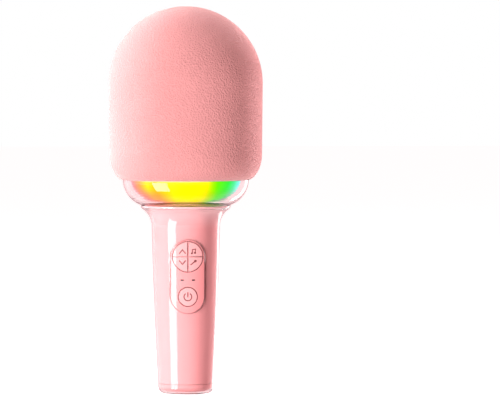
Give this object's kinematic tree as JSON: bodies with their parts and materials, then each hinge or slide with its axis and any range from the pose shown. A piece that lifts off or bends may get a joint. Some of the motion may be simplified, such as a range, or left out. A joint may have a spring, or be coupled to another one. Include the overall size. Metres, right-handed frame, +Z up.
{
  "type": "karaoke microphone",
  "caption": "Handheld wireless karaoke microphone: foam windscreen over a caged capsule and loudspeaker, clear light ring, tapered handle with a four-way keypad and a power key.",
  "frame": {"origin": "centre of the flat base that the microphone stands on", "axes": "+Z up the handle to the foam head, the key panel faces -Y, +X to the right when facing the panel"},
  "size_m": [0.088, 0.088, 0.2212],
  "materials": {
    "foam": "matte",
    "cage_plastic": "satin",
    "grille_aluminium": "satin",
    "screw_steel": "satin",
    "capsule_metal": "satin",
    "black_rubber": "matte",
    "black_plastic": "satin",
    "speaker_steel": "satin",
    "magnet": "matte",
    "cone_paper": "matte",
    "coil_copper": "satin",
    "clear_plastic": "gloss",
    "lit_plastic": "satin",
    "led_board_white": "satin",
    "led_lens": "gloss",
    "pink_gloss": "gloss",
    "panel_gloss": "satin",
    "silicone": "matte",
    "circuit_board": "satin",
    "cell_can": "satin",
    "red_wire": "satin",
    "black_wire": "satin",
    "yellow_wire": "satin"
  },
  "bodies": {
    "housing": {"grille_cage": "cage_plastic", "grille_mesh": "grille_aluminium", "cage_screws": "screw_steel", "mic_capsule": "capsule_metal", "capsule_boot": "black_rubber", "capsule_bridge": "cage_plastic", "bridge_screws": "screw_steel", "speaker_enclosure": "black_plastic", "speaker_gasket": "black_rubber", "speaker_frame": "speaker_steel", "speaker_magnet": "magnet", "speaker_surround": "black_rubber", "speaker_screws": "screw_steel", "head_chassis": "cage_plastic", "light_cup": "clear_plastic", "lit_bowl": "lit_plastic", "led_board": "led_board_white", "rgb_leds": "led_lens", "led_screws": "screw_steel", "neck_screws": "screw_steel", "handle_skin": "clear_plastic", "handle_core": "pink_gloss", "key_panel": "panel_gloss", "indicator_lenses": "black_plastic", "key_membrane": "silicone", "main_board": "circuit_board", "key_switches": "black_plastic", "board_chips": "black_plastic", "wire_sockets": "cage_plastic", "board_screws": "screw_steel", "battery_cell": "cell_can", "battery_cradle": "cage_plastic", "base_cap": "pink_gloss", "cap_skin": "clear_plastic", "base_screws": "screw_steel", "charge_board": "circuit_board", "charge_socket": "speaker_steel", "speaker_leads": "red_wire", "capsule_leads": "black_wire", "led_leads": "yellow_wire", "battery_leads": "red_wire", "charge_leads": "black_wire"},
    "windscreen": {"foam_windscreen": "foam"},
    "key_up": {"key_up": "panel_gloss"},
    "key_down": {"key_down": "panel_gloss"},
    "key_mode": {"key_mode": "panel_gloss"},
    "key_effect": {"key_effect": "panel_gloss"},
    "power_key": {"power_key": "panel_gloss"},
    "speaker_cone": {"speaker_cone": "cone_paper", "dust_cap": "cone_paper", "voice_coil": "coil_copper"}
  },
  "joints": [
    {"name": "windscreen_pull", "type": "slide", "parent": "housing", "child": "windscreen", "axis": [0, 0, 1], "range_m": [0, 0.105]},
    {"name": "key_up_press", "type": "slide", "parent": "housing", "child": "key_up", "axis": [0, 1, 0], "range_m": [0, 0.0005], "stiffness_N_per_m": 1000, "springref_m": -0.0004},
    {"name": "key_down_press", "type": "slide", "parent": "housing", "child": "key_down", "axis": [0, 1, 0], "range_m": [0, 0.0005], "stiffness_N_per_m": 1000, "springref_m": -0.0004},
    {"name": "key_mode_press", "type": "slide", "parent": "housing", "child": "key_mode", "axis": [0, 1, 0], "range_m": [0, 0.0005], "stiffness_N_per_m": 1000, "springref_m": -0.0004},
    {"name": "key_effect_press", "type": "slide", "parent": "housing", "child": "key_effect", "axis": [0, 1, 0], "range_m": [0, 0.0005], "stiffness_N_per_m": 1000, "springref_m": -0.0004},
    {"name": "power_key_press", "type": "slide", "parent": "housing", "child": "power_key", "axis": [0, 1, 0], "range_m": [0, 0.0005], "stiffness_N_per_m": 1000, "springref_m": -0.0004},
    {"name": "cone_stroke", "type": "slide", "parent": "housing", "child": "speaker_cone", "axis": [0, 0, 1], "range_m": [-0.0005, 0.0005], "stiffness_N_per_m": 1500}
  ]
}
